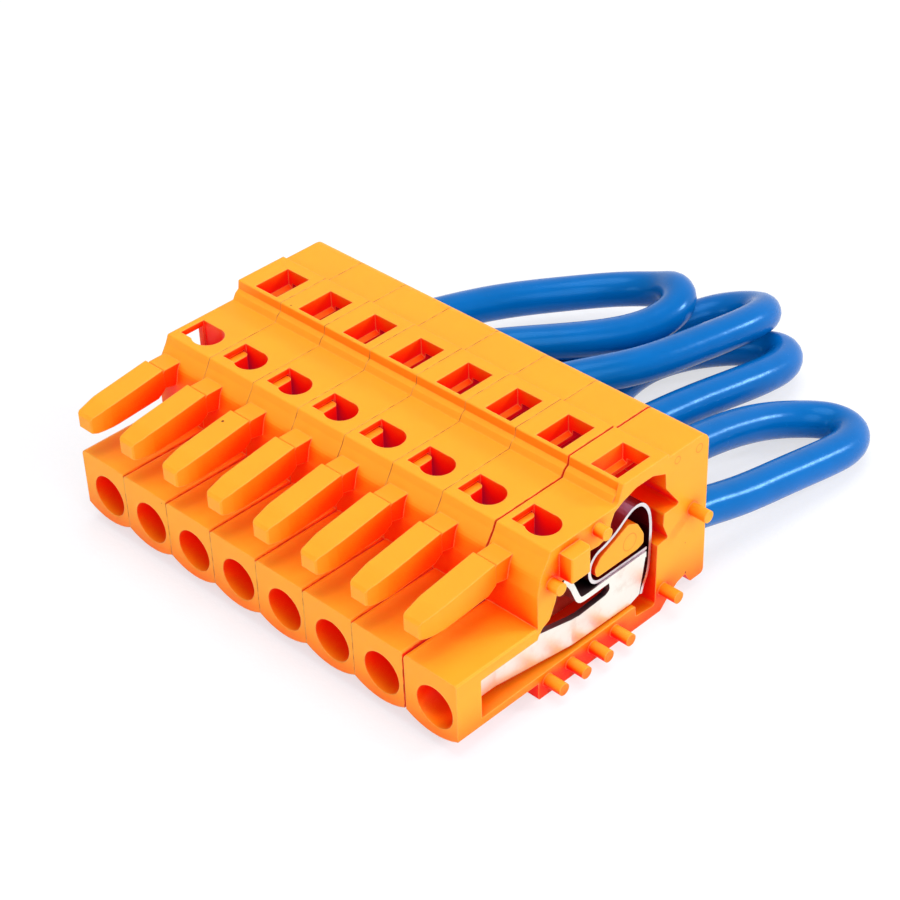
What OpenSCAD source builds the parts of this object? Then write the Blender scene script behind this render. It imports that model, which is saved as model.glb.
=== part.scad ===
// Pluggable terminal block: a row of single-pole plastic housings with
// cage-clamp springs, current bars and four insulated jumper wires.
// X runs along the row, Y from the mating face to the wire side, Z up.

/* [Row] */
// Distance from one pole to the next
pitch = 5.08; // [4.9:0.01:5.3]
// Gap left between the last two housings, which stand slightly apart
last_gap = 0.15; // [0.05:0.05:0.3]

/* [Housing] */
// Length of the nose, from the mating face to the high body
nose_l = 8.15; // [7.9:0.05:8.4]
// Length of the body in front of the spring chamber
front_l = 5.2; // [5.1:0.05:5.6]
// Length of the spring chamber
chamber_l = 7.6; // [7.4:0.05:8]
// Length of the wire entry behind the chamber
rear_l = 5.5; // [5.2:0.05:6]
// Height of the frame round the operating slots
frame_z = 14.2; // [14:0.05:14.6]
// Height of the plate behind the operating slots
rear_plate_z = 13.9; // [13.7:0.05:13.95]
// Height of the plate that holds the test openings
test_plate_z = 12.7; // [12.6:0.05:12.85]
// Thickness of the closed left wall
side_wall = 0.9; // [0.8:0.05:0.95]
// How far the test plate stands back from the high body's front
brow_l = 1.35; // [1:0.05:1.5]
// Radius of the top edge at the wire side
back_r = 0.9; // [0.4:0.1:1]
// Length from the end of the base to the wire side
heel_l = 4.95; // [4.8:0.05:5.2]
// Height of the rear foot above the base
rear_foot_z = 0.8; // [0.7:0.05:0.9]
// Height of the recess in front of the rear foot
rear_recess_z = 1.85; // [1.7:0.05:1.9]

/* [Nose] */
// Height of the nose's flat top
nose_top_z = 6.6; // [6.5:0.05:6.8]
// Height of the nose's underside where two noses meet
nose_side_z = 1.55; // [1.45:0.05:1.6]
// How far the nose's underside bulges below that
nose_belly = 0.65; // [0.4:0.05:0.75]
// Thickness of the wall at the mating face
nose_wall = 2.4; // [2.1:0.05:2.5]
// Diameter of the pin opening
pin_bore_d = 3.5; // [3.3:0.05:3.6]
// Height of the pin opening's axis
pin_bore_z = 3.5; // [3.45:0.01:3.55]
// How far the pin axis lies to the right of the pole's middle
axis_off = 0.36; // [0.3:0.01:0.4]

/* [Coding finger] */
// Width of the finger
finger_w = 2.1; // [1.9:0.05:2.2]
// Width of the finger at its tip
finger_tip_w = 1.65; // [1.4:0.05:1.8]
// Distance of the finger from the housing's left side
finger_x = 0.1; // [0.05:0.01:0.3]
// Height of the finger's underside at its root
finger_low_z = 9.15; // [9:0.05:9.3]
// Height of the finger's top at its root
finger_top_z = 11.5; // [11.4:0.05:11.6]
// How far the finger's top falls towards its tip
finger_fall = 1.25; // [1:0.05:1.4]
// Gap between the finger and the body, which the neck bridges
finger_gap = 1.1; // [0.8:0.05:1.3]
// Width of the neck that joins the finger to the body
neck_w = 1.9; // [1.5:0.05:2]

/* [Test opening] */
// Width of the D-shaped opening along the row
test_w = 3.4; // [3.3:0.05:3.5]
// Diameter of the D-shaped opening's round part
test_d = 2.64; // [2.4:0.02:2.7]
// Width of the D-shaped opening's square part
test_square = 2.36; // [2:0.02:2.4]
// Distance of the D-shaped opening from the front of the high body
test_at = 1.95; // [1.85:0.01:2]
// Distance of the D-shaped opening from the housing's left side
test_x = 0.55; // [0.5:0.05:0.8]
// Height left above the side window
lintel_h = 0.52; // [0.46:0.02:0.6]

/* [Bead and slot] */
// Distance of the bead from the front of the spring chamber
bead_at = 2.95; // [2.85:0.05:3]
// Height of the bead above the test plate
bead_h = 0.5; // [0.4:0.05:0.55]
// Distance of the slot frame from the front of the spring chamber
frame_at = 3.7; // [3.6:0.05:3.75]
// Length of the slot frame
frame_l = 4.9; // [4.7:0.05:5]
// Length of the operating slot across the row
slot_l = 3.5; // [3.3:0.05:3.6]
// Width of the operating slot along the row
slot_w = 2.55; // [2.4:0.05:2.6]
// Thickness of the frame's wall in front of the slot
frame_wall = 0.3; // [0.25:0.01:0.4]
// Distance of the operating slot from the housing's left side
slot_x = 1.7; // [1.6:0.05:1.75]
// Depth of the operating slot's wide mouth
slot_mouth = 1.45; // [1.2:0.05:1.6]
// How far the left wall steps in below the mouth
slot_step = 0.4; // [0.3:0.05:0.6]
// Distance of the bead's rounded end from the last housing's right side
bead_stop = 0.45; // [0.3:0.05:0.6]

/* [Pegs] */
// Diameter of the pegs on the right side
peg_d = 1.0; // [0.85:0.05:1.05]
// Length of the pegs
peg_l = 1.6; // [1.4:0.05:1.7]
// Length of the two short pegs near the front
short_peg_l = 1.0; // [0.8:0.05:1.2]
// Clearance of a peg in its hole, all round
peg_clear = 0.1; // [0.05:0.05:0.15]
// How far the rectangular block stands out
block_l = 1.2; // [1:0.05:1.3]
// Length of the block across the row
block_w = 2.1; // [2:0.05:2.15]
// Height of the block
block_h = 2.1; // [2:0.05:2.2]
// Clearance of the block in its window, all round
window_clear = 0.1; // [0.08:0.01:0.12]

/* [Wire entry] */
// Diameter of the insulated wire
wire_d = 3.1; // [2.9:0.05:3.2]
// Clearance of the wire in its opening, all round
wire_clear = 0.2; // [0.1:0.05:0.25]
// How far the insulation reaches into the housing
wire_in = 3.0; // [2.5:0.1:3.2]
// Diameter of the stripped conductor
conductor_d = 1.4; // [1.2:0.05:1.5]

/* [Metal parts] */
// Thickness of the spring strip
spring_t = 0.28; // [0.25:0.01:0.32]
// Width of the spring strip
spring_w = 3.3; // [3:0.05:3.4]
// Thickness of the current bar's sheet
bar_t = 0.5; // [0.4:0.05:0.55]
// Clearance between the current bar and the housing's left wall
bar_clear = 0.15; // [0.1:0.01:0.2]
// Height of the current bar's upper face
bar_z = 6.3; // [6.2:0.05:6.35]
// Gap between the two contact arms at their tips
arm_gap = 1.1; // [0.9:0.05:1.2]

/* [Hidden] */
$fn = 32;
poles = 8;
e = 0.01;
row_w = poles * pitch + last_gap + peg_l;
mid_x = pitch / 2 + axis_off;
body_y = nose_l;
chamber_y = nose_l + front_l;
depth = chamber_y + chamber_l + rear_l;
base_end_y = depth - heel_l;
frame_y = chamber_y + frame_at;
frame_end_y = frame_y + frame_l;
slot_y = frame_y + frame_wall;
bead_y = chamber_y + bead_at;
test_y = body_y + test_at;
finger_root_y = nose_l - finger_gap;
finger_tip_z = finger_top_z - finger_fall;
roof_z = frame_z - 1;
bar_w = 2 * (mid_x - side_wall - bar_clear);
wire_z = bar_z - bar_t - conductor_d / 2 - 0.03;
// a place in the spring chamber, y from its front as chosen for a chamber 7.6 long
function cy(y) = chamber_y + y * chamber_l / 7.6;
// where each pole's left side stands
function pole_x(k) = k * pitch + (k == poles - 1 ? last_gap : 0);
// a ring of points on an arc, from angle a to angle b
function arc(cy, cz, r, a, b, n) = [for (i = [0:n]) [cy + r * cos(a + (b - a) * i / n), cz + r * sin(a + (b - a) * i / n)]];
// polygon corners rounded: q is [y, z, r]
function unit2(v) = v / norm(v);
function corner(a, q, c) =
    q[2] < 0.02 ? [[q[0], q[1]]] :
    let (p = [q[0], q[1]], u = unit2([a[0], a[1]] - p), v = unit2([c[0], c[1]] - p),
         half = acos(max(-1, min(1, u * v))) / 2, t = q[2] / tan(half),
         m = p + unit2(u + v) * q[2] / sin(half), s = p + u * t, f = p + v * t,
         a0 = atan2(s[1] - m[1], s[0] - m[0]), a1 = atan2(f[1] - m[1], f[0] - m[0]),
         d = a1 - a0 > 180 ? a1 - a0 - 360 : a1 - a0 < -180 ? a1 - a0 + 360 : a1 - a0,
         n = max(2, ceil(abs(d) / 22)))
    [for (i = [0:n]) m + q[2] * [cos(a0 + d * i / n), sin(a0 + d * i / n)]];
function rounded(q) = [for (i = [0:len(q) - 1]) each corner(q[(i + len(q) - 1) % len(q)], q[i], q[(i + 1) % len(q)])];

module prism(pts, x0, x1) {
    translate([x0, 0, 0]) rotate([90, 0, 90]) linear_extrude(x1 - x0) polygon(pts);
}
module rod_x(y, z, d, x0, x1) {
    translate([x0, y, z]) rotate([0, 90, 0]) cylinder(d = d, h = x1 - x0);
}

// ---- places that follow from the sizes above
peg_low_z = 1.35;
// each peg: y, z and length
peg_at = concat([for (i = [0:3]) [body_y + 0.95 + 2.4 * i, peg_low_z, peg_l]],
          [[base_end_y + 0.15, 2.05, peg_l], [depth - 1.65, 7.75, peg_l], [chamber_y + 0.9, test_plate_z - 0.75, short_peg_l], [body_y + 1.35, 9.9, short_peg_l]]);
block_y = test_y + 0.25;
block_z = test_plate_z - lintel_h - window_clear - block_h;
arm_x = bar_w / 2 - bar_t;

// ---- housing, seen from the side
foot_part = [
    [body_y, 0, 0.15], [base_end_y, 0, 0.15], [base_end_y + 0.9, 0.85, 0.2], [base_end_y + 1.9, rear_recess_z - 0.25, 0.2],
    [base_end_y + 2.8, rear_recess_z, 0.15], [base_end_y + 3.4, rear_foot_z, 0.25], [depth, rear_foot_z, 0.4],
    [depth, rear_plate_z, back_r], [frame_end_y, rear_plate_z, 0], [frame_end_y, frame_z, 0.08], [frame_y, frame_z, 0.1]];
front_part = [[body_y + brow_l, test_plate_z, 0.15], [body_y + brow_l - 0.3, test_plate_z - 0.65, 0.5], [body_y + 0.3, test_plate_z - 1.85, 1.5],
              [body_y, test_plate_z - 3.3, 2], [body_y, nose_top_z - 1, 0]];
outline = rounded(concat(foot_part,
    [[frame_y - 0.1, test_plate_z + bead_h + 0.25, 0.05], [bead_y + 0.3, test_plate_z + bead_h, 0.12], [bead_y, test_plate_z, 0.06]], front_part));
ramp_outline = rounded(concat(foot_part, [[bead_y + 0.15, test_plate_z, 0.4]], front_part));

// the hollow that holds the metal parts, open on the right
floor_z = pin_bore_z - 1.3;
nose_roof_z = pin_bore_z + 2.15;
hollow = rounded([
    [nose_wall, floor_z, 0.1], [cy(5.25), floor_z, 0.1], [cy(5.35), 1.2, 0.2], [cy(7.5), 0.95, 0.3],
    [cy(7.6), bar_z + 0.15, 0.05], [cy(8.8), bar_z + 0.25, 0.15], [cy(8.2), bar_z + 1.65, 0.1], [cy(8.25), 9.0, 0.15], [cy(10.05), 9.0, 0.2],
    [cy(8.4), 11.2, 0.2], [cy(8.3), rear_plate_z - 1.3, 0.2], [cy(6.85), roof_z, 0.3], [cy(5.05), roof_z, 0.3], [cy(3.65), roof_z - 0.45, 0.1],
    [cy(2.75), test_plate_z - 0.4, 0.15], [cy(2.35), test_plate_z - 1.2, 0.15], [cy(2.3), bar_z + 4.25, 0.2], [cy(1.05), bar_z + 4, 0.2], [cy(0.1), bar_z + 4.1, 0.1], [chamber_y, bar_z + 2.85, 0.1],
    [body_y + 2.95, bar_z + 2.8, 0.1], [body_y + 2.75, bar_z + 3.15, 0.1], [body_y + 2.2, bar_z + 3.15, 0.2], [body_y + 1.8, 8.0, 0.4], [body_y + 1.2, nose_roof_z + 1.1, 0.4],
    [body_y + 0.45, nose_roof_z + 0.75, 0.15], [body_y + 0.05, nose_roof_z + 0.25, 0.1], [body_y - 0.05, nose_roof_z, 0], [nose_wall, nose_roof_z, 0.1]]);

module nose_body() {
    // flat top and sides, bulging underside
    w = pitch;
    r = (w * w / 4 + nose_belly * nose_belly) / (2 * nose_belly);
    half = asin(w / 2 / r);
    edge = concat(arc(w / 2, nose_side_z - nose_belly + r, r, -90 - half, -90 + half, 8),
                  [[w, nose_top_z - 0.12], [w - 0.12, nose_top_z], [0.35, nose_top_z], [0.1, nose_top_z - 0.1], [0, nose_top_z - 0.35]]);
    translate([0, body_y + 1, 0]) rotate([90, 0, 0]) linear_extrude(body_y + 1) polygon(edge);
}

module finger() {
    x1 = finger_x + finger_w;
    tip_end = finger_x + finger_tip_w;
    tip_low = finger_low_z - 0.4;
    intersection() {
        prism(rounded([[0.5, tip_low, 0.3], [finger_root_y - 0.75, finger_low_z, 0.15], [finger_root_y, finger_low_z + 0.5, 0.12], [finger_root_y, finger_top_z, 0.1],
                       [1.7, finger_top_z - 0.72, 2], [0.22, finger_tip_z, 0.15], [0, finger_tip_z - 0.25, 0.1], [0, tip_low + 0.12, 0.1]]),
              finger_x - 0.1, x1 + 0.1);
        translate([0, 0, finger_low_z - 1]) linear_extrude(4)
            polygon([[finger_x, 8], [finger_x, 0.22], [finger_x + 0.05, 0.07], [finger_x + 0.16, 0], [tip_end - 0.14, 0], [tip_end, 0.12],
                     [tip_end + (x1 - tip_end) * 0.6, 1.0], [x1 - 0.03, 1.75], [x1, 2.2], [x1, 8]]);
    }
    // neck back to the body
    neck_x = finger_x + (finger_w - neck_w) / 2 + 0.08;
    prism(rounded([[finger_root_y - 0.3, finger_low_z + 0.7, 0], [body_y - 0.2, finger_low_z + 0.4, 0], [body_y + 1, finger_low_z + 0.4, 0], [body_y + 1, finger_top_z - 0.12, 0],
                   [finger_root_y + 0.12, finger_top_z - 0.12, 0.15], [finger_root_y + 0.02, finger_top_z - 0.3, 0.02], [finger_root_y - 0.3, finger_top_z - 0.35, 0]]),
          neck_x, neck_x + neck_w);
}

module test_opening() {
    // square on the left, round on the right
    r = test_d / 2;
    xr = test_x + test_w - r;
    z0 = bar_z + 2.7;
    translate([xr, test_y + r, z0]) cylinder(r = r, h = 6);
    translate([test_x, test_y + test_d - 0.02 - test_square, z0 + 0.15]) cube([xr - test_x, test_square, 6]);
}

step_x = slot_x + slot_step;
step_z = frame_z - slot_mouth - 0.25;
module slot() {
    // wide at the mouth, then the left wall steps in towards the spring
    translate([slot_x, slot_y, frame_z - slot_mouth]) cube([slot_w, slot_l, 3]);
    translate([step_x, slot_y, 11.0]) cube([slot_w - slot_step, slot_l, 4]);
    translate([0, slot_y + slot_l, 0]) rotate([90, 0, 0]) linear_extrude(slot_l)
        polygon([[slot_x, frame_z - slot_mouth + 0.1], [slot_x, frame_z - slot_mouth], [step_x + 0.1, step_z - 0.05], [step_x + 0.1, frame_z - slot_mouth + 0.1]]);
}

module wire_opening() {
    // round mouth, narrowing to the clamp
    translate([mid_x, depth + 1, wire_z]) rotate([90, 0, 0]) cylinder(d = wire_d + 2 * wire_clear, h = wire_in + 1.2);
    translate([mid_x, depth - wire_in, wire_z]) rotate([90, 0, 0]) cylinder(d = conductor_d + 0.8, h = rear_l - wire_in + 1.5);
}

module block() {
    // its outer rear corner is well rounded
    translate([0, 0, block_z]) linear_extrude(block_h)
        polygon(rounded([[pitch - 0.4, block_y, 0], [pitch + block_l, block_y, 0.15], [pitch + block_l, block_y + block_w, 0.4], [pitch - 0.4, block_y + block_w, 0]]));
}

module housing(last) {
    stop = last ? bead_stop : 0;
    difference() {
        union() {
            prism(outline, 0, pitch - stop);
            if (last) prism(ramp_outline, pitch - stop, pitch);
            nose_body();
            finger();
            for (p = peg_at) rod_x(p[0], p[1], peg_d, pitch - 0.4, pitch + p[2]);
            block();
        }
        difference() {
            prism(hollow, side_wall, pitch + 0.02);
            // the boss inside the spring's loop stays, and the collar below the slot's left side
            prism(rounded(boss), side_wall - 0.1, pitch - 0.35);
            prism([[frame_y - 0.5, step_z - 0.35], [frame_end_y, step_z - 0.35], [frame_end_y, frame_z], [frame_y - 0.5, frame_z]], side_wall - 0.1, step_x);
        }
        // pin opening
        translate([mid_x, -1, pin_bore_z]) rotate([-90, 0, 0]) cylinder(d = pin_bore_d, h = nose_wall + 1.5);
        test_opening();
        slot();
        wire_opening();
        // left wall: holes and window for the next housing's pegs and block
        for (p = peg_at) rod_x(p[0], p[1], peg_d + 2 * peg_clear, -1, p[2] + 0.1);
        translate([-1, block_y - window_clear, block_z - window_clear]) cube([block_l + window_clear + 1, block_w + 2 * window_clear, block_h + 2 * window_clear]);
    }
}

// ---- clamp spring: a strip along a path in the side view
function strip_side(p, s) = [for (i = [0:len(p) - 1])
    let (a = p[max(i - 1, 0)], b = p[min(i + 1, len(p) - 1)], d = unit2(b - a)) p[i] + s * [-d[1], d[0]]];
function reversed(p) = [for (i = [len(p) - 1:-1:0]) p[i]];
function strip(p, t) = concat(strip_side(p, t / 2), reversed(strip_side(p, -t / 2)));
// smooth curve through hand-set points
function curve_at(p, i, t) = let (a = p[max(i - 1, 0)], b = p[i], c = p[i + 1], d = p[min(i + 2, len(p) - 1)])
    0.5 * (2 * b + (c - a) * t + (2 * a - 5 * b + 4 * c - d) * t * t + (3 * b - a - 3 * c + d) * t * t * t);
function curve(p, n) = [for (i = [0:len(p) - 2]) for (j = [0:n - 1]) curve_at(p, i, j / n)];

leg_z = bar_z + spring_t / 2;
spring_path = concat(
    [[cy(6.95), leg_z]],
    curve([[cy(2.15), leg_z], [cy(1.5), leg_z + 0.1], [cy(0.95), leg_z + 0.5], [cy(0.7), leg_z + 1.25], [cy(0.85), leg_z + 2.05], [cy(1.45), leg_z + 2.65], [cy(2.5), leg_z + 2.95],
           [cy(3.65), leg_z + 3.45], [cy(4.65), leg_z + 4.1], [cy(5.45), leg_z + 4.45], [cy(6.35), leg_z + 4.3], [cy(7.05), leg_z + 3.4],
           [cy(7.33), leg_z + 2.0], [cy(7.31), leg_z], [cy(7.25), leg_z - 1.4], [cy(7.05), leg_z - 2.5], [cy(6.65), leg_z - 3.3], [cy(6.4), leg_z - 4.0]], 3),
    [[cy(6.4), leg_z - 4.0]]);
// plastic boss inside the loop
boss = [[cy(1.3), bar_z + 0.78, 0.35], [cy(5.75), bar_z + 0.78, 0.3], [cy(6.42), bar_z + 1.0, 0.25], [cy(6.42), bar_z + 1.85, 0.7], [cy(5.7), bar_z + 3.15, 0.7],
        [cy(4.7), bar_z + 3.6, 0.5], [cy(3.05), bar_z + 2.9, 0.4], [cy(1.7), bar_z + 2.35, 0.5], [cy(1.12), bar_z + 1.6, 0.4]];

module clamp_spring() {
    x0 = mid_x + 0.05 - spring_w / 2;
    difference() {
        prism(strip(spring_path, spring_t), x0, x0 + spring_w);
        // window that the conductor passes through
        translate([mid_x - 1.15, cy(6.97), bar_z - 3.0]) cube([2.3, 1, 3.0 + spring_t + 0.25]);
    }
}

// ---- current bar: top strip, front hook, two side plates that become contact arms
arm_z = pin_bore_z;
arm_y = chamber_y - 0.65;
hook_path = concat(curve([[cy(1.95), bar_z - bar_t / 2], [cy(0.25), bar_z - bar_t / 2 - 0.02], [chamber_y - 0.5, bar_z - bar_t / 2 + 0.15], [chamber_y - 0.95, bar_z + 0.75],
                          [chamber_y - 1.3, bar_z + 1.55], [chamber_y - 1.75, bar_z + 2.2], [chamber_y - 2.2, bar_z + 2.45]], 3), [[chamber_y - 2.2, bar_z + 2.45]]);
plate = rounded([[cy(6.75), bar_z, 0.1], [cy(2.55), bar_z, 0], [cy(2.65), bar_z - 0.5, 0.1], [cy(2.75), bar_z - 1.15, 0.3], [cy(2.25), bar_z - 1.4, 0.2], [arm_y - 0.1, arm_z + 1.25, 0],
                 [arm_y - 0.1, arm_z - 1, 0], [cy(5.05), bar_z - 3.95, 0.1], [cy(6.05), bar_z - 3.6, 0.2]]);
module current_bar() {
    // top strip
    prism([[cy(1.85), bar_z - bar_t], [cy(6.75), bar_z - bar_t], [cy(6.75), bar_z], [cy(1.85), bar_z]], mid_x - bar_w / 2, mid_x + bar_w / 2);
    prism(strip(hook_path, bar_t), mid_x - bar_w / 2, mid_x + bar_w / 2);
    for (s = [-1, 1]) {
        // side plate
        prism(plate, s > 0 ? mid_x + arm_x : mid_x - bar_w / 2, s > 0 ? mid_x + bar_w / 2 : mid_x - arm_x);
        // contact arm, closing towards its tip
        intersection() {
            translate([mid_x, 0, 0]) linear_extrude(10)
                polygon([[s * arm_x, arm_y], [s * arm_x, arm_y - 0.7], [s * arm_gap / 2, nose_wall + 2.5], [s * (arm_gap / 2 + 0.12), nose_wall + 0.8],
                         [s * (arm_gap / 2 + 0.12 + bar_t), nose_wall + 0.8], [s * (arm_gap / 2 + bar_t), nose_wall + 2.6], [s * bar_w / 2, arm_y - 0.7], [s * bar_w / 2, arm_y]]);
            prism([[arm_y, arm_z - 1.01], [arm_y, arm_z + 1.3], [body_y + 0.35, arm_z + 1.8], [nose_wall + 3.6, arm_z + 1.4], [nose_wall + 0.8, arm_z + 0.8],
                   [nose_wall + 0.8, arm_z - 0.55], [nose_wall + 3.1, arm_z - 0.75]], 0, pitch);
        }
    }
}

module conductor_end() {
    translate([mid_x, depth - wire_in, wire_z]) rotate([90, 0, 0]) cylinder(d = conductor_d, h = depth - wire_in - cy(2.5));
}

// ---- jumper wires: a tube swept along a few hand-set points
// each loop leans to the right and lies over the next one: x from the row's left side, y from the mating face, z from the base
ways = [
    [[4.4, 33.5, 4.6], [6.4, 40, 4], [9.2, 45.5, 3.4], [12.4, 49.5, 3.4], [15.6, 51, 4], [18, 50.5, 5.2], [19.8, 48.5, 5], [19.4, 44.5, 4.6], [17.2, 39.5, 5], [12.8, 33, 5.6]],
    [[15, 34, 2.4], [16.6, 42, 1.8], [18, 48.5, 1.8], [19.8, 53, 2.4], [22.8, 54.5, 3.4], [25.4, 53.5, 4.6], [26, 50, 5.2], [25.2, 44.5, 5.6], [24, 38, 6], [20.6, 31.5, 6.2]],
    [[22.8, 33.5, 2.6], [21.4, 40.5, 3], [22.6, 46, 2.6], [24.8, 50, 2], [27, 52.5, 1.8], [28.8, 52.5, 2], [29.4, 50, 2.6], [29.4, 45.5, 3.2], [28.8, 39.5, 4], [28.4, 33, 4.6]],
    [[32.8, 32.5, 4.6], [33, 38, 3.8], [34, 42.5, 2.8], [35.6, 45.5, 2], [37.4, 47.5, 1.8], [39.2, 47.5, 1.8], [40, 45.5, 2], [40, 42, 2.4], [39.8, 37.5, 3.2], [39.4, 32, 4]]];
function route(j) = let (xa = pole_x(2 * j) + mid_x, xb = pole_x(2 * j + 1) + mid_x, y0 = depth - wire_in, y1 = depth + 0.35)
    concat([[xa, y0, wire_z], [xa, y1, wire_z]], ways[j], [[xb, y1, wire_z], [xb, y0, wire_z]]);
// rings stand closer together round the bend
function spaced(p) = concat([for (i = [0:len(p) - 2]) let (n = i > 3 && i < 10 ? 2 : 1) for (k = [0:n - 1]) curve_at(p, i, k / n)], [p[len(p) - 1]]);
function ring(p, t, r, n) = let (side = cross(t, [0, 0, 1]) / norm(cross(t, [0, 0, 1])), up = cross(side, t))
    [for (i = [0:n - 1]) p + r * (cos(360 * (i + 0.5) / n) * side + sin(360 * (i + 0.5) / n) * up)];
module tube(p, d, n) {
    m = len(p);
    r = d / 2;
    pts = [for (k = [0:m - 1]) each ring(p[k],
        k == 0 || k == m - 1 ? [0, k == 0 ? 1 : -1, 0] : (p[k + 1] - p[k - 1]) / norm(p[k + 1] - p[k - 1]), r, n)];
    polyhedron(pts, concat([[for (i = [0:n - 1]) i]], [[for (i = [n - 1:-1:0]) (m - 1) * n + i]],
        [for (k = [0:m - 2], i = [0:n - 1]) [k * n + i, (k + 1) * n + i, (k + 1) * n + (i + 1) % n]],
        [for (k = [0:m - 2], i = [0:n - 1]) [k * n + i, (k + 1) * n + (i + 1) % n, k * n + (i + 1) % n]]));
}
module jumper(j) { tube(spaced(route(j)), wire_d, 8); }

module placed() { translate([-row_w / 2, -depth / 2, 0]) children(); }
module at_pole(k) { placed() translate([pole_x(k), 0, 0]) children(); }

module housing_1() { color("darkorange") at_pole(0) housing(false); }
module housing_2() { color("darkorange") at_pole(1) housing(false); }
module housing_3() { color("darkorange") at_pole(2) housing(false); }
module housing_4() { color("darkorange") at_pole(3) housing(false); }
module housing_5() { color("darkorange") at_pole(4) housing(false); }
module housing_6() { color("darkorange") at_pole(5) housing(false); }
module housing_7() { color("darkorange") at_pole(6) housing(false); }
module housing_8() { color("darkorange") at_pole(7) housing(true); }
module clamp_spring_1() { color("lightgray") at_pole(0) clamp_spring(); }
module clamp_spring_2() { color("lightgray") at_pole(1) clamp_spring(); }
module clamp_spring_3() { color("lightgray") at_pole(2) clamp_spring(); }
module clamp_spring_4() { color("lightgray") at_pole(3) clamp_spring(); }
module clamp_spring_5() { color("lightgray") at_pole(4) clamp_spring(); }
module clamp_spring_6() { color("lightgray") at_pole(5) clamp_spring(); }
module clamp_spring_7() { color("lightgray") at_pole(6) clamp_spring(); }
module clamp_spring_8() { color("lightgray") at_pole(7) clamp_spring(); }
module current_bar_1() { color("whitesmoke") at_pole(0) current_bar(); }
module current_bar_2() { color("whitesmoke") at_pole(1) current_bar(); }
module current_bar_3() { color("whitesmoke") at_pole(2) current_bar(); }
module current_bar_4() { color("whitesmoke") at_pole(3) current_bar(); }
module current_bar_5() { color("whitesmoke") at_pole(4) current_bar(); }
module current_bar_6() { color("whitesmoke") at_pole(5) current_bar(); }
module current_bar_7() { color("whitesmoke") at_pole(6) current_bar(); }
module current_bar_8() { color("whitesmoke") at_pole(7) current_bar(); }
module conductor_end_1() { color("silver") at_pole(0) conductor_end(); }
module conductor_end_2() { color("silver") at_pole(1) conductor_end(); }
module conductor_end_3() { color("silver") at_pole(2) conductor_end(); }
module conductor_end_4() { color("silver") at_pole(3) conductor_end(); }
module conductor_end_5() { color("silver") at_pole(4) conductor_end(); }
module conductor_end_6() { color("silver") at_pole(5) conductor_end(); }
module conductor_end_7() { color("silver") at_pole(6) conductor_end(); }
module conductor_end_8() { color("silver") at_pole(7) conductor_end(); }
module jumper_wire_1() { color("royalblue") placed() jumper(0); }
module jumper_wire_2() { color("royalblue") placed() jumper(1); }
module jumper_wire_3() { color("royalblue") placed() jumper(2); }
module jumper_wire_4() { color("royalblue") placed() jumper(3); }

housing_1();
housing_2();
housing_3();
housing_4();
housing_5();
housing_6();
housing_7();
housing_8();
clamp_spring_1();
clamp_spring_2();
clamp_spring_3();
clamp_spring_4();
clamp_spring_5();
clamp_spring_6();
clamp_spring_7();
clamp_spring_8();
current_bar_1();
current_bar_2();
current_bar_3();
current_bar_4();
current_bar_5();
current_bar_6();
current_bar_7();
current_bar_8();
conductor_end_1();
conductor_end_2();
conductor_end_3();
conductor_end_4();
conductor_end_5();
conductor_end_6();
conductor_end_7();
conductor_end_8();
jumper_wire_1();
jumper_wire_2();
jumper_wire_3();
jumper_wire_4();
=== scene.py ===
import math

import bpy
from bpy.props import FloatProperty, FloatVectorProperty, PointerProperty
from bpy.types import Operator, Panel, PropertyGroup
from mathutils import Euler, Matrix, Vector


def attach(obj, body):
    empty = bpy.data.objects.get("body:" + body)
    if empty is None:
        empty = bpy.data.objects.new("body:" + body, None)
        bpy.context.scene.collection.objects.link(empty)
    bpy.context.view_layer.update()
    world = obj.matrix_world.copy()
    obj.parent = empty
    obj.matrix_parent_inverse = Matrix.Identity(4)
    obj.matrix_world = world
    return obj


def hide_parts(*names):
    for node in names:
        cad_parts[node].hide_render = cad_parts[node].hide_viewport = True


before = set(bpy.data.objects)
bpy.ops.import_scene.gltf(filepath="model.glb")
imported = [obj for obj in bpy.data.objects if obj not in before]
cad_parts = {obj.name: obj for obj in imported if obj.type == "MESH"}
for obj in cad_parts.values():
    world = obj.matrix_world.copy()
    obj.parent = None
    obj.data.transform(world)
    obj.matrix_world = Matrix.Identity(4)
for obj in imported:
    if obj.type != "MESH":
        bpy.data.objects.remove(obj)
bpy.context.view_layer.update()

bl_info = {
    "name": "Pluggable terminal block",
    "version": (1, 0, 0),
    "blender": (4, 5, 0),
    "location": "3D View > Sidebar > Terminal block",
    "description": "Dresses the row of plug housings with its springs, bars and jumper wires",
    "category": "Object",
}

MM = 0.001
POLES = 8
JUMPERS = 4

# the row, in millimetres: x from its left side, y from the mating face, z from the base
PITCH = 5.08        # from one pole to the next
LAST_GAP = 0.15     # the last housing stands this much apart
PEG = 1.6           # length of the last housing's pegs
DEPTH = 26.45       # from the mating face to the rear face
ROW_W = POLES * PITCH + LAST_GAP + PEG

# the wire entries, in millimetres
AXIS_X = 2.9        # from a pole's left side to its wire
WIRE_Z = 5.07       # height of the wires where they leave the housings
WIRE_IN = 3.0       # length inside the housing
WIRE_OUT = 0.35     # straight length outside it
ROUTE_STEPS = 6     # short pieces between two points of a route
EASING = 8          # passes that ease a wire's bends

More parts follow.
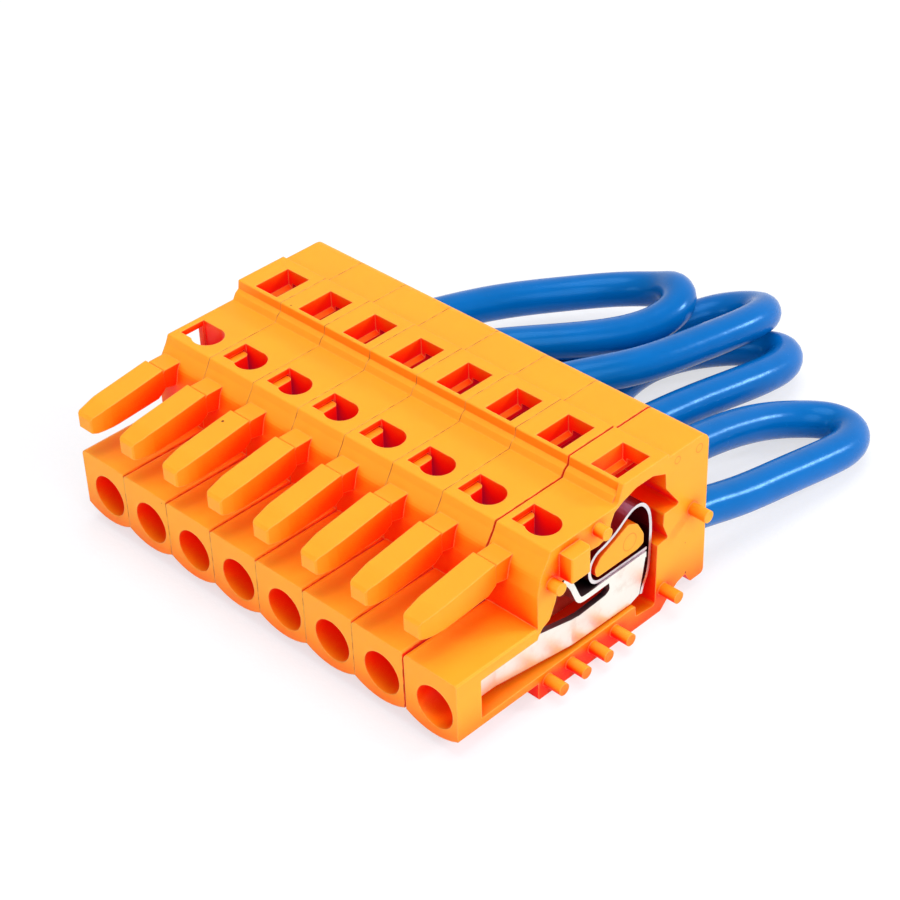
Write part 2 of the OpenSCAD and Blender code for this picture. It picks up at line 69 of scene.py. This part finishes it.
# where each jumper wire passes between its two entries
WAYS = [
    [(4.4, 33.5, 4.6), (6.4, 40, 4), (9.2, 45.5, 3.4), (12.4, 49.5, 3.4), (15.6, 51, 4), (18, 50.5, 5.2),
     (19.8, 48.5, 5), (19.4, 44.5, 4.6), (17.2, 39.5, 5), (12.8, 33, 5.6)],
    [(15, 34, 2.4), (16.6, 42, 1.8), (18, 48.5, 1.8), (19.8, 53, 2.4), (22.8, 54.5, 3.4), (25.4, 53.5, 4.6),
     (26, 50, 5.2), (25.2, 44.5, 5.6), (24, 38, 6), (20.6, 31.5, 6.2)],
    [(22.8, 33.5, 2.6), (21.4, 40.5, 3), (22.2, 46, 2.6), (23.9, 50, 2), (26.1, 52.4, 1.8), (28.3, 52.5, 2.2),
     (29.7, 50.3, 2.6), (29.7, 46, 3.2), (28.9, 39.5, 4), (28.4, 33, 4.6)],
    [(32.8, 32.5, 4.6), (33, 38, 3.8), (33.6, 42.5, 2.8), (34.9, 45.7, 2), (37, 47.6, 1.8), (39.2, 47.2, 1.9),
     (40.3, 45, 2.2), (40.2, 41.8, 2.6), (39.8, 37.5, 3.2), (39.4, 32, 4)],
]

# ejector and gate marks on the last housing's open side: y, z and radius, in millimetres
RING_MARKS = [(18.23, 8.25, 0.7), (22.93, 13.14, 0.3), (25.38, 12.89, 0.35)]
RING_HALF_WIDTH = 0.05

# camera: focal length, place and turn, in millimetres and degrees
LENS = 89.2
CAMERA_PLACE = (100.03, -91.30, 107.76)
CAMERA_TURN = (54.008, 1.747, 44.482)

# soft lamps, all turned to the row's centre: name, place and diameter in metres, and watts
LAMPS = [
    ("overhead", (-0.02, 0.06, 0.55), 0.42, 1.55),
    ("right", (0.38, -0.08, 0.34), 0.34, 0.9),
    ("front", (0.05, -0.5, 0.2), 0.3, 0.75),
    ("back", (0.36, 0.44, 0.27), 0.12, 1.6),
]
STUDIO_LEVEL = 0.42     # the world's light on the object, where 1 is white
FLOOR_SIZE = 3          # metres
FLOOR_GLOW = 0.65       # how much of the floor's white, seen directly, is its own


def linear(code):
    """An sRGB hex colour as linear numbers with alpha."""
    values = [int(code[i:i + 2], 16) / 255 for i in (0, 2, 4)]
    return tuple(v / 12.92 if v <= 0.04045 else ((v + 0.055) / 1.055) ** 2.4 for v in values) + (1.0,)


def scaled(colour, factor):
    """A colour made darker or lighter."""
    return tuple(min(1, c * factor) for c in colour[:3]) + (1,)


def place(x, y, z):
    """Millimetres from the row's corner to metres in the shared frame."""
    return Vector((x - ROW_W / 2, y - DEPTH / 2, z)) * MM


def pole_x(k):
    """A pole's left side."""
    return k * PITCH + (LAST_GAP if k == POLES - 1 else 0)


# ---------------------------------------------------------------- settings
class TerminalBlockSizes(PropertyGroup):
    wire_diameter: FloatProperty(
        name="Wire diameter", description="Outer diameter of the insulated wire",
        default=0.0031, min=0.001, max=0.006, unit="LENGTH")
    edge_radius: FloatProperty(
        name="Edge radius", description="Softening of the moulded edges",
        default=0.00017, min=0.0, max=0.0005, unit="LENGTH")


class TerminalBlockColours(PropertyGroup):
    housing: FloatVectorProperty(
        name="Housing", description="Orange of the moulded nylon",
        subtype="COLOR", size=4, min=0, max=1, default=linear("ffa428"))
    wire: FloatVectorProperty(
        name="Wire", description="Blue of the wire insulation",
        subtype="COLOR", size=4, min=0, max=1, default=linear("0064b0"))
    spring: FloatVectorProperty(
        name="Spring", description="Bright spring strip",
        subtype="COLOR", size=4, min=0, max=1, default=linear("e6e4e4"))
    tin: FloatVectorProperty(
        name="Tin", description="Tin plating of the current bar",
        subtype="COLOR", size=4, min=0, max=1, default=linear("f2f5ec"))


# ---------------------------------------------------------------- materials
def add_node(tree, kind, at, links=None, values=None, stops=(), **settings):
    """Adds a node, sets its properties, socket values and colour stops, and links its inputs."""
    node = tree.nodes.new(kind)
    node.location = at
    for key, value in settings.items():
        setattr(node, key, value)
    for socket, value in (values or {}).items():
        node.inputs[socket].default_value = value
    for socket, source in (links or {}).items():
        tree.links.new(source, node.inputs[socket])
    if stops:
        elements = node.color_ramp.elements
        while len(elements) < len(stops):
            elements.new(0.5)
        for element, (where, colour) in zip(elements, stops):
            element.position, element.color = where, colour
    return node


def new_material(name):
    material = bpy.data.materials.new(name)
    material.use_nodes = True
    material.node_tree.nodes.clear()
    return material, material.node_tree


def seen_rays(tree):
    """One for the rays that see a thing as it is: from the camera, a mirror or glass."""
    path = add_node(tree, "ShaderNodeLightPath", (-1100, 300))
    mirrored = add_node(tree, "ShaderNodeMath", (-900, 300), {
        0: path.outputs["Is Camera Ray"], 1: path.outputs["Is Glossy Ray"]}, operation="MAXIMUM")
    through = add_node(tree, "ShaderNodeMath", (-800, 200), {
        0: mirrored.outputs[0], 1: path.outputs["Is Transmission Ray"]}, operation="MAXIMUM")
    return through.outputs[0]


def seam_lines(tree, spot, across):
    """How strongly the seams between two housings show: lines about 0.08 mm wide, weaker where little dirt settled."""
    from_left = add_node(tree, "ShaderNodeMath", (-1350, -1300), {0: across}, {1: ROW_W / 2 * MM}, operation="ADD")
    poles = add_node(tree, "ShaderNodeMath", (-1350, -1450), {0: from_left.outputs[0]}, {1: PITCH * MM},
                     operation="DIVIDE")
    away = add_node(tree, "ShaderNodeMath", (-1350, -1600), {0: poles.outputs[0]}, {1: 0.5}, operation="PINGPONG")
    seam = add_node(tree, "ShaderNodeMapRange", (-1350, -1750), {"Value": away.outputs[0]},
                    {"From Min": 0.004, "From Max": 0.012, "To Min": 1.0, "To Max": 0.0})
    # dirt in patches of 0.8 mm
    dirt = add_node(tree, "ShaderNodeTexNoise", (-1500, -1900), {"Vector": spot}, {"Scale": 1300.0, "Detail": 3.0})
    settled = add_node(tree, "ShaderNodeMapRange", (-1350, -1900), {"Value": dirt.outputs["Fac"]},
                       {"From Min": 0.42, "From Max": 0.6, "To Min": 0.15, "To Max": 0.75})
    # only between two poles, so the row's own two ends stay clean
    between = add_node(tree, "ShaderNodeMath", (-1350, -2100), {0: poles.outputs[0]},
                       {1: POLES / 2, 2: POLES / 2 - 0.5}, operation="COMPARE")
    dirty = add_node(tree, "ShaderNodeMath", (-1150, -1750), {0: seam.outputs[0], 1: settled.outputs[0]},
                     operation="MULTIPLY")
    lines = add_node(tree, "ShaderNodeMath", (-1000, -1900), {0: dirty.outputs[0], 1: between.outputs[0]},
                     operation="MULTIPLY")
    return lines.outputs[0]


def ring_lines(tree, spot, across, facing_x):
    """How strongly the fine rings of RING_MARKS show on the last housing's open side."""
    flat = add_node(tree, "ShaderNodeVectorMath", (-1200, -1100), {0: spot}, {1: (0, 1, 1)}, operation="MULTIPLY")
    rings = None
    for n, (y, z, radius) in enumerate(RING_MARKS):
        down = -1100 - 200 * n
        centre = Vector((0, y - DEPTH / 2, z)) * MM
        far = add_node(tree, "ShaderNodeVectorMath", (-1000, down), {0: flat.outputs["Vector"]}, {1: centre},
                       operation="DISTANCE")
        ring = add_node(tree, "ShaderNodeMath", (-800, down), {0: far.outputs["Value"]},
                        {1: radius * MM, 2: RING_HALF_WIDTH * MM}, operation="COMPARE").outputs[0]
        if rings is not None:
            ring = add_node(tree, "ShaderNodeMath", (-600, down), {0: rings, 1: ring}, operation="ADD").outputs[0]
        rings = ring
    open_side = (pole_x(POLES - 1) + PITCH - 0.5 - ROW_W / 2) * MM
    last = add_node(tree, "ShaderNodeMath", (-800, -1700), {0: across}, {1: open_side}, operation="GREATER_THAN")
    side = add_node(tree, "ShaderNodeMath", (-800, -1900), {0: facing_x}, {1: 0.98}, operation="GREATER_THAN")
    only = add_node(tree, "ShaderNodeMath", (-600, -1700), {0: last.outputs[0], 1: side.outputs[0]},
                    operation="MULTIPLY")
    shown = add_node(tree, "ShaderNodeMath", (-400, -1500), {0: rings, 1: only.outputs[0]},
                     operation="MULTIPLY", use_clamp=True)
    faint = add_node(tree, "ShaderNodeMath", (-200, -1500), {0: shown.outputs[0]}, {1: 0.45}, operation="MULTIPLY")
    return faint.outputs[0]


def moulded_nylon(colour, radius):
    """Polyamide 66, injection moulded: satin, dense orange with a little real light passing through it; its corners and
    pockets carry painted red shade and a painted glow, its edges a painted highlight.
    """
    material, tree = new_material("moulded_polyamide_orange")
    spot = add_node(tree, "ShaderNodeTexCoord", (-1500, 0)).outputs["Object"]
    # the melt's faint clouds, 4 mm across
    cloud = add_node(tree, "ShaderNodeTexNoise", (-1200, 300), {"Vector": spot}, {"Scale": 250.0, "Detail": 3.0})
    # fine spark-eroded skin of the mould, 0.14 mm
    grain = add_node(tree, "ShaderNodeTexNoise", (-1200, -200), {"Vector": spot}, {"Scale": 7000.0, "Detail": 2.0})
    # a few specks of dust, 0.2 mm wide and some 4 mm apart
    dust = add_node(tree, "ShaderNodeTexVoronoi", (-1200, -450), {"Vector": spot}, {"Scale": 230.0})
    speck = add_node(tree, "ShaderNodeMapRange", (-1000, -450), {"Value": dust.outputs["Distance"]},
                     {"From Min": 0.022, "From Max": 0.03, "To Min": 1.0, "To Max": 0.0})
    # painted shade: how open a place lies, a little more so where it faces the light above, picks the colour, so closed
    # corners and pockets are painted red and maroon as shade and upward faces painted lighter
    open_sky = add_node(tree, "ShaderNodeAmbientOcclusion", (-1500, 600), values={"Distance": 0.0052}, samples=12)
    surface = add_node(tree, "ShaderNodeNewGeometry", (-1500, 400))
    facing = add_node(tree, "ShaderNodeSeparateXYZ", (-1350, 400), {"Vector": surface.outputs["Normal"]})
    lifted = add_node(tree, "ShaderNodeMath", (-1200, 400), {0: facing.outputs["Z"]}, {1: 0.24},
                      operation="MULTIPLY", use_clamp=True)
    opened = add_node(tree, "ShaderNodeMath", (-1200, 600), {0: open_sky.outputs["AO"], 1: lifted.outputs[0]},
                      operation="ADD")
    # painted shade: the ramp runs from maroon in closed pockets to the lit orange on open faces
    painted_shade = add_node(tree, "ShaderNodeValToRGB", (-950, 600), {"Fac": opened.outputs[0]}, stops=[
        (0.0, linear("9c0a34")), (0.08, linear("c40818")), (0.26, linear("f01002")),
        (0.46, linear("ff3200")), (0.7, linear("ff8206")), (0.95, colour)]).outputs["Color"]
    # painted glow: the less open a place lies, the more it emits the painted shade's red, standing in for light that
    # the nylon carries into its own pockets
    painted_pocket_glow = add_node(tree, "ShaderNodeMapRange", (-950, 800), {"Value": opened.outputs[0]},
                      {"From Min": 0.05, "From Max": 0.5, "To Min": 0.42, "To Max": 0.0})
    shade = add_node(tree, "ShaderNodeMapRange", (-950, 300), {"Value": cloud.outputs["Fac"]},
                     {"To Min": 0.93, "To Max": 1.04})
    toned = add_node(tree, "ShaderNodeMix", (-650, 500), {"A": painted_shade, "B": shade.outputs[0]}, {"Factor": 1.0},
                     data_type="RGBA", blend_type="MULTIPLY")
    # painted highlight: moulded edges, found by the softened normal, are painted paler as if light caught them
    soft = add_node(tree, "ShaderNodeBevel", (-1200, -700), values={"Radius": radius}, samples=6)
    turn = add_node(tree, "ShaderNodeVectorMath", (-1000, -800), {
        0: soft.outputs["Normal"], 1: surface.outputs["Normal"]}, operation="DOT_PRODUCT")
    painted_edge_highlight = add_node(tree, "ShaderNodeMapRange", (-800, -800), {"Value": turn.outputs["Value"]},
                      {"From Min": 0.80, "From Max": 0.99, "To Min": 0.38, "To Max": 0.0})
    highlit_edges = add_node(tree, "ShaderNodeMix", (-400, 400), {"Factor": painted_edge_highlight.outputs[0], "A": toned.outputs["Result"]},
                     {"B": linear("ffcc74")}, data_type="RGBA")
    dusty = add_node(tree, "ShaderNodeMix", (-200, 300), {"Factor": speck.outputs[0], "A": highlit_edges.outputs["Result"]},
                     {"B": linear("7a2408")}, data_type="RGBA")
    across = add_node(tree, "ShaderNodeSeparateXYZ", (-1500, -1300), {"Vector": spot}).outputs["X"]
    joined = add_node(tree, "ShaderNodeMix", (-100, 500), {
        "Factor": seam_lines(tree, spot, across), "A": dusty.outputs["Result"]},
        {"B": linear("b84408")}, data_type="RGBA")
    marked = add_node(tree, "ShaderNodeMix", (0, 300), {
        "Factor": ring_lines(tree, spot, across, facing.outputs["X"]), "A": joined.outputs["Result"]},
        {"B": linear("e05a08")}, data_type="RGBA")
    gloss = add_node(tree, "ShaderNodeMapRange", (-650, 0), {"Value": cloud.outputs["Fac"]},
                     {"To Min": 0.36, "To Max": 0.5})
    bump = add_node(tree, "ShaderNodeBump", (-400, -200), {
        "Height": grain.outputs["Fac"], "Normal": soft.outputs["Normal"]}, {"Strength": 0.35, "Distance": 0.00002})
    # the emission here is the painted pocket glow, coloured by the painted shade
    shader = add_node(tree, "ShaderNodeBsdfPrincipled", (100, 0), {
        "Base Color": marked.outputs["Result"], "Roughness": gloss.outputs[0], "Normal": bump.outputs["Normal"],
        "Emission Color": painted_shade, "Emission Strength": painted_pocket_glow.outputs[0]}, {
        "IOR": 1.53, "Specular IOR Level": 0.13,
        "Subsurface Weight": 0.22, "Subsurface Scale": 0.0007, "Subsurface Radius": (1.0, 0.3, 0.06)})
    add_node(tree, "ShaderNodeOutputMaterial", (400, 0), {"Surface": shader.outputs[0]})
    return material


def extruded_pvc(colour):
    """Plasticised PVC, extruded over the conductor: even, slightly waxy blue with soft streaks of light."""
    material, tree = new_material("extruded_pvc_blue")
    spot = add_node(tree, "ShaderNodeTexCoord", (-900, 0)).outputs["Object"]
    # the sheath is never quite round: slow swells of 3 mm
    swell = add_node(tree, "ShaderNodeTexNoise", (-700, 100), {"Vector": spot}, {"Scale": 330.0, "Detail": 2.0})
    # scuffs from handling, 0.4 mm
    scuff = add_node(tree, "ShaderNodeTexNoise", (-700, -150), {"Vector": spot}, {"Scale": 2600.0, "Detail": 4.0})
    rough = add_node(tree, "ShaderNodeMapRange", (-450, 0), {"Value": scuff.outputs["Fac"]},
                     {"To Min": 0.12, "To Max": 0.34})
    tone = add_node(tree, "ShaderNodeMix", (-450, 250), {"Factor": swell.outputs["Fac"]},
                    {"A": scaled(colour, 0.86), "B": scaled(colour, 1.1)}, data_type="RGBA")
    fine = add_node(tree, "ShaderNodeBump", (-450, -300), {"Height": scuff.outputs["Fac"]},
                    {"Strength": 0.3, "Distance": 0.00002})
    bump = add_node(tree, "ShaderNodeBump", (-250, -200), {
        "Height": swell.outputs["Fac"], "Normal": fine.outputs["Normal"]}, {"Strength": 0.35, "Distance": 0.00015})
    shader = add_node(tree, "ShaderNodeBsdfPrincipled", (0, 0), {
        "Base Color": tone.outputs["Result"], "Roughness": rough.outputs[0], "Normal": bump.outputs["Normal"]},
        {"IOR": 1.53, "Specular IOR Level": 0.3, "Specular Tint": linear("74c4ff")})
    add_node(tree, "ShaderNodeOutputMaterial", (300, 0), {"Surface": shader.outputs[0]})
    return material


def sheet_metal(name, colour, broad, dark, smudge, roughness):
    """Rolled strip, satin: cut edges and outer sides are painted bright, the broad faces take a painted darker
    reflection tone, and close corners a painted shade.
    """
    material, tree = new_material(name)
    spot = add_node(tree, "ShaderNodeTexCoord", (-1100, 0)).outputs["Object"]
    # finger marks and flux stains, 1.4 mm
    stain = add_node(tree, "ShaderNodeTexNoise", (-900, 200), {"Vector": spot},
                     {"Scale": 700.0, "Detail": 5.0, "Roughness": 0.62})
    stains = add_node(tree, "ShaderNodeMapRange", (-700, 200), {"Value": stain.outputs["Fac"]},
                      {"From Min": 0.5, "From Max": 0.72, "To Max": 0.45})
    # rolling grain, 0.3 mm
    grain = add_node(tree, "ShaderNodeTexNoise", (-900, -150), {"Vector": spot}, {"Scale": 3800.0, "Detail": 3.0})
    # painted shade: close corners take the dark colour, by how open they lie
    open_sky = add_node(tree, "ShaderNodeAmbientOcclusion", (-900, 500), values={"Distance": 0.002}, samples=12)
    surface = add_node(tree, "ShaderNodeNewGeometry", (-1300, 800))
    facing = add_node(tree, "ShaderNodeSeparateXYZ", (-1100, 800), {"Vector": surface.outputs["Normal"]})
    # painted reflection: faces turned away from the X axis take the darker broad tone, those facing along it the bright
    # colour
    sideways = add_node(tree, "ShaderNodeMath", (-900, 800), {0: facing.outputs["X"]}, operation="ABSOLUTE")
    faces = add_node(tree, "ShaderNodeValToRGB", (-700, 800), {"Fac": sideways.outputs[0]},
                     stops=[(0.5, linear(broad)), (0.8, colour)])
    near = add_node(tree, "ShaderNodeMapRange", (-700, 500), {"Value": open_sky.outputs["AO"]},
                    {"From Min": 0.3, "From Max": 0.7})
    painted_shade = add_node(tree, "ShaderNodeMix", (-500, 500), {"Factor": near.outputs[0], "B": faces.outputs["Color"]},
                     {"A": linear(dark)}, data_type="RGBA")
    tone = add_node(tree, "ShaderNodeMix", (-400, 300), {"Factor": stains.outputs[0], "A": painted_shade.outputs["Result"]},
                    {"B": linear(smudge)}, data_type="RGBA", blend_type="MULTIPLY")
    rough = add_node(tree, "ShaderNodeMapRange", (-450, 0), {"Value": stain.outputs["Fac"]},
                     {"To Min": roughness[0], "To Max": roughness[1]})
    bump = add_node(tree, "ShaderNodeBump", (-250, -200), {"Height": grain.outputs["Fac"]},
                    {"Strength": 0.3, "Distance": 0.00002})
    shader = add_node(tree, "ShaderNodeBsdfPrincipled", (0, 0), {
        "Base Color": tone.outputs["Result"], "Roughness": rough.outputs[0], "Normal": bump.outputs["Normal"]},
        {"Metallic": 1.0})
    add_node(tree, "ShaderNodeOutputMaterial", (300, 0), {"Surface": shader.outputs[0]})
    return material


def white_paper():
    """Matt paper: seen directly it is partly lit by itself, so it stays near white and keeps a faint shadow."""
    material, tree = new_material("matt_white_paper")
    spot = add_node(tree, "ShaderNodeTexCoord", (-900, 0)).outputs["Object"]
    # fibres, 0.7 mm
    fibre = add_node(tree, "ShaderNodeTexNoise", (-700, -100), {"Vector": spot}, {"Scale": 1500.0, "Detail": 3.0})
    bump = add_node(tree, "ShaderNodeBump", (-500, -200), {"Height": fibre.outputs["Fac"]},
                    {"Strength": 0.3, "Distance": 0.0001})
    paint = add_node(tree, "ShaderNodeBsdfDiffuse", (-300, 0), {"Normal": bump.outputs["Normal"]},
                     {"Color": linear("fbfaff")})
    glow = add_node(tree, "ShaderNodeEmission", (-300, -200), values={"Strength": 1.0, "Color": linear("ffffff")})
    part = add_node(tree, "ShaderNodeMath", (-500, 300), {0: seen_rays(tree)}, {1: FLOOR_GLOW}, operation="MULTIPLY")
    seen = add_node(tree, "ShaderNodeMixShader", (0, 0), {0: part.outputs[0], 1: paint.outputs[0], 2: glow.outputs[0]})
    add_node(tree, "ShaderNodeOutputMaterial", (300, 0), {"Surface": seen.outputs[0]})
    return material


def dress(obj, material):
    obj.data.materials.clear()
    obj.data.materials.append(material)


def smooth_route(points):
    """A smooth line through the points, as a drawn wire runs: its tightest bends are eased, its ends stay."""
    line = []
    for i in range(len(points) - 1):
        a, b = points[max(i - 1, 0)], points[i]
        c, d = points[i + 1], points[min(i + 2, len(points) - 1)]
        for j in range(ROUTE_STEPS):
            t = j / ROUTE_STEPS
            line.append(0.5 * (2 * b + (c - a) * t + (2 * a - 5 * b + 4 * c - d) * t * t
                               + (3 * b - a - 3 * c + d) * t ** 3))
    line.append(points[-1].copy())
    for _ in range(EASING):
        line = line[:1] + [(a + 2 * b + c) / 4 for a, b, c in zip(line, line[1:], line[2:])] + line[-1:]
    return line


def tube(name, line, diameter):
    """A round tube along a line, with closed ends."""
    curve = bpy.data.curves.new(name, "CURVE")
    curve.dimensions = "3D"
    curve.bevel_depth = diameter / 2
    curve.bevel_resolution = 8
    curve.use_fill_caps = True
    spline = curve.splines.new("POLY")
    spline.points.add(len(line) - 1)
    for point, where in zip(spline.points, line):
        point.co = (*where, 1)
    spline.use_smooth = True
    return curve


# ---------------------------------------------------------------- operators
class TERMINAL_OT_camera(Operator):
    """Sets the camera at three quarters from the front right, above the row"""
    bl_idname = "terminal.camera"
    bl_label = "Camera"

    def execute(self, context):
        data = bpy.data.cameras.new("camera")
        data.lens = LENS
        data.clip_start, data.clip_end = 0.01, 5
        camera = bpy.data.objects.new("camera", data)
        camera.location = Vector(CAMERA_PLACE) * MM
        camera.rotation_euler = Euler([math.radians(a) for a in CAMERA_TURN])
        context.scene.collection.objects.link(camera)
        context.scene.camera = camera
        return {"FINISHED"}


class TERMINAL_OT_jumpers(Operator):
    """Lays the insulated jumper wires from pole to pole behind the row"""
    bl_idname = "terminal.jumpers"
    bl_label = "Jumper wires"

    def execute(self, context):
        sizes, colours = context.scene.terminal_sizes, context.scene.terminal_colours
        material = extruded_pvc(tuple(colours.wire))
        inside, outside = DEPTH - WIRE_IN, DEPTH + WIRE_OUT
        for j in range(JUMPERS):
            left, right = pole_x(2 * j) + AXIS_X, pole_x(2 * j + 1) + AXIS_X
            points = [place(left, inside, WIRE_Z), place(left, outside, WIRE_Z)]
            points += [place(*way) for way in WAYS[j]]
            points += [place(right, outside, WIRE_Z), place(right, inside, WIRE_Z)]
            line = smooth_route(points)
            obj = bpy.data.objects.new(f"insulated_jumper_{j + 1}", tube(f"jumper_{j + 1}", line, sizes.wire_diameter))
            context.scene.collection.objects.link(obj)
            dress(obj, material)
            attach(obj, "root")
            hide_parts(f"jumper_wire_{j + 1}")
        return {"FINISHED"}


class TERMINAL_OT_housings(Operator):
    """Gives the housings their moulded nylon"""
    bl_idname = "terminal.housings"
    bl_label = "Housings"

    def execute(self, context):
        sizes, colours = context.scene.terminal_sizes, context.scene.terminal_colours
        material = moulded_nylon(tuple(colours.housing), sizes.edge_radius)
        for k in range(POLES):
            dress(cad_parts[f"housing_{k + 1}"], material)
        return {"FINISHED"}


class TERMINAL_OT_metal(Operator):
    """Gives the springs, current bars and conductor ends their metal"""
    bl_idname = "terminal.metal"
    bl_label = "Metal parts"

    def execute(self, context):
        colours = context.scene.terminal_colours
        # broad is the painted reflection tone of the broad faces, dark the painted shade of close corners
        spring = sheet_metal("rolled_spring_steel", tuple(colours.spring),
                             broad="8a5264", dark="582038", smudge="c8bcc0", roughness=(0.22, 0.36))
        tin = sheet_metal("tin_plated_copper", tuple(colours.tin),
                          broad="b09aa0", dark="3a2438", smudge="e8d4cc", roughness=(0.3, 0.44))
        for k in range(POLES):
            dress(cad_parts[f"clamp_spring_{k + 1}"], spring)
            dress(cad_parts[f"current_bar_{k + 1}"], tin)
            dress(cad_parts[f"conductor_end_{k + 1}"], tin)
        return {"FINISHED"}


class TERMINAL_OT_stage(Operator):
    """Lays a plain pale floor and sets soft studio light"""
    bl_idname = "terminal.stage"
    bl_label = "Stage"

    def execute(self, context):
        bpy.ops.object.select_all(action="DESELECT")
        bpy.ops.mesh.primitive_plane_add(size=FLOOR_SIZE, location=(0, 0, 0))
        floor = context.object
        floor.name = "floor"
        bpy.ops.object.transform_apply(location=True, rotation=True, scale=True)
        dress(floor, white_paper())
        # the world: a dim studio that lights the object, white where it is seen
        world = bpy.data.worlds.new("studio")
        context.scene.world = world
        world.use_nodes = True
        tree = world.node_tree
        tree.nodes.clear()
        dim = add_node(tree, "ShaderNodeBackground", (-200, 0),
                       values={"Strength": STUDIO_LEVEL, "Color": linear("f4f8ff")})
        white = add_node(tree, "ShaderNodeBackground", (-200, 200), values={"Strength": 1.0, "Color": linear("ffffff")})
        mix = add_node(tree, "ShaderNodeMixShader", (0, 100), {
            0: seen_rays(tree), 1: dim.outputs[0], 2: white.outputs[0]})
        add_node(tree, "ShaderNodeOutputWorld", (200, 100), {"Surface": mix.outputs[0]})
        for name, where, diameter, watts in LAMPS:
            lamp = bpy.data.lights.new(name, "AREA")
            lamp.shape, lamp.size, lamp.energy = "DISK", diameter, watts
            obj = bpy.data.objects.new(name, lamp)
            obj.location = where
            obj.rotation_euler = (-Vector(where)).to_track_quat("-Z", "Y").to_euler()
            context.scene.collection.objects.link(obj)
        context.scene.view_settings.view_transform = "Standard"
        return {"FINISHED"}


class TERMINAL_PT_panel(Panel):
    bl_idname = "TERMINAL_PT_panel"
    bl_label = "Terminal block"
    bl_space_type = "VIEW_3D"
    bl_region_type = "UI"
    bl_category = "Terminal block"

    def draw(self, context):
        layout = self.layout
        for name in ("wire_diameter", "edge_radius"):
            layout.prop(context.scene.terminal_sizes, name)
        for name in ("housing", "wire", "spring", "tin"):
            layout.prop(context.scene.terminal_colours, name)
        for step in STEPS:
            layout.operator(step.bl_idname)


STEPS = (TERMINAL_OT_camera, TERMINAL_OT_jumpers, TERMINAL_OT_housings, TERMINAL_OT_metal, TERMINAL_OT_stage)
CLASSES = (TerminalBlockSizes, TerminalBlockColours) + STEPS + (TERMINAL_PT_panel,)


def register():
    for cls in CLASSES:
        bpy.utils.register_class(cls)
    bpy.types.Scene.terminal_sizes = PointerProperty(type=TerminalBlockSizes)
    bpy.types.Scene.terminal_colours = PointerProperty(type=TerminalBlockColours)


def unregister():
    del bpy.types.Scene.terminal_colours
    del bpy.types.Scene.terminal_sizes
    for cls in reversed(CLASSES):
        bpy.utils.unregister_class(cls)


def main():
    register()
    bpy.ops.terminal.camera()
    bpy.ops.terminal.jumpers()
    bpy.ops.terminal.housings()
    bpy.ops.terminal.metal()
    bpy.ops.terminal.stage()


if __name__ == "__main__":
    main()
